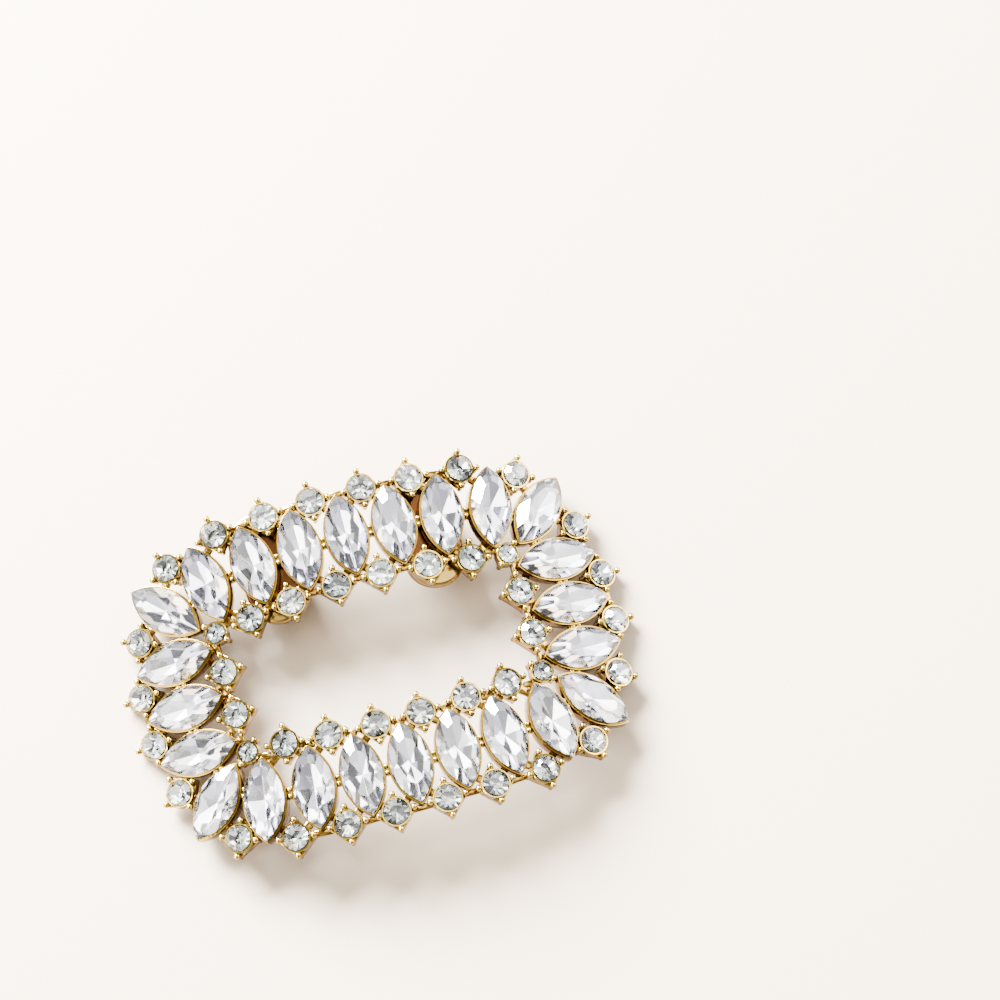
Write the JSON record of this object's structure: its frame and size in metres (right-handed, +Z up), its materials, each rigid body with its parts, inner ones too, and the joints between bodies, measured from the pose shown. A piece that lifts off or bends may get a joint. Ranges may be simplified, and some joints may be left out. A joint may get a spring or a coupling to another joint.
{
  "type": "shoe buckle",
  "caption": "Jewelled shoe buckle: an arched gold-plated cast ring with boat-shaped and round cut crystals, and sprung clips on its back that grip the shoe.",
  "frame": {"origin": "middle of the ring's length and width, at the level it stands on", "axes": "+X along the ring, +Y across it towards the clips' tails, +Z up out of its jewelled face"},
  "size_m": [0.064, 0.0454, 0.0102],
  "materials": {
    "gold_casting": "bright pale gold plate on a casting",
    "boat_crystal": "clear cut crystal, silver-foiled on its back",
    "round_crystal": "clear cut crystal, silver-foiled on its back",
    "gold_clip": "smooth gold plate on pressed strip",
    "gold_pin": "smooth gold plate, riveted ends"
  },
  "bodies": {
    "ring": {"setting_ring": "gold_casting", "outer_round_stones": "round_crystal", "inner_round_stones": "round_crystal", "corner_round_stones": "round_crystal", "boat_stone_01": "boat_crystal", "boat_stone_02": "boat_crystal", "boat_stone_03": "boat_crystal", "boat_stone_04": "boat_crystal", "boat_stone_05": "boat_crystal", "boat_stone_06": "boat_crystal", "boat_stone_07": "boat_crystal", "boat_stone_08": "boat_crystal", "boat_stone_09": "boat_crystal", "boat_stone_10": "boat_crystal", "boat_stone_11": "boat_crystal", "boat_stone_12": "boat_crystal", "boat_stone_13": "boat_crystal", "boat_stone_14": "boat_crystal", "boat_stone_15": "boat_crystal", "boat_stone_16": "boat_crystal", "boat_stone_17": "boat_crystal", "boat_stone_18": "boat_crystal", "boat_stone_19": "boat_crystal", "boat_stone_20": "boat_crystal", "boat_stone_21": "boat_crystal", "boat_stone_22": "boat_crystal", "boat_stone_23": "boat_crystal", "boat_stone_24": "boat_crystal", "clip_plate_left": "gold_clip", "clip_plate_right": "gold_clip", "hinge_pin_left": "gold_pin", "hinge_pin_right": "gold_pin"},
    "lever_left": {"clip_lever_left": "gold_clip"},
    "lever_right": {"clip_lever_right": "gold_clip"}
  },
  "joints": [
    {"name": "lever_left_hinge", "type": "hinge", "parent": "ring", "child": "lever_left", "pos_m": [-0.01046, 0.01604, 0.00397], "axis": [0.9831, 0.1045, 0.1506], "range_deg": [0, 30], "stiffness_Nm_per_rad": 0.002, "springref_deg": -57.3},
    {"name": "lever_right_hinge", "type": "hinge", "parent": "ring", "child": "lever_right", "pos_m": [0.01027, 0.01524, 0.004], "axis": [0.9835, -0.1045, -0.1478], "range_deg": [0, 30], "stiffness_Nm_per_rad": 0.002, "springref_deg": -57.3}
  ]
}
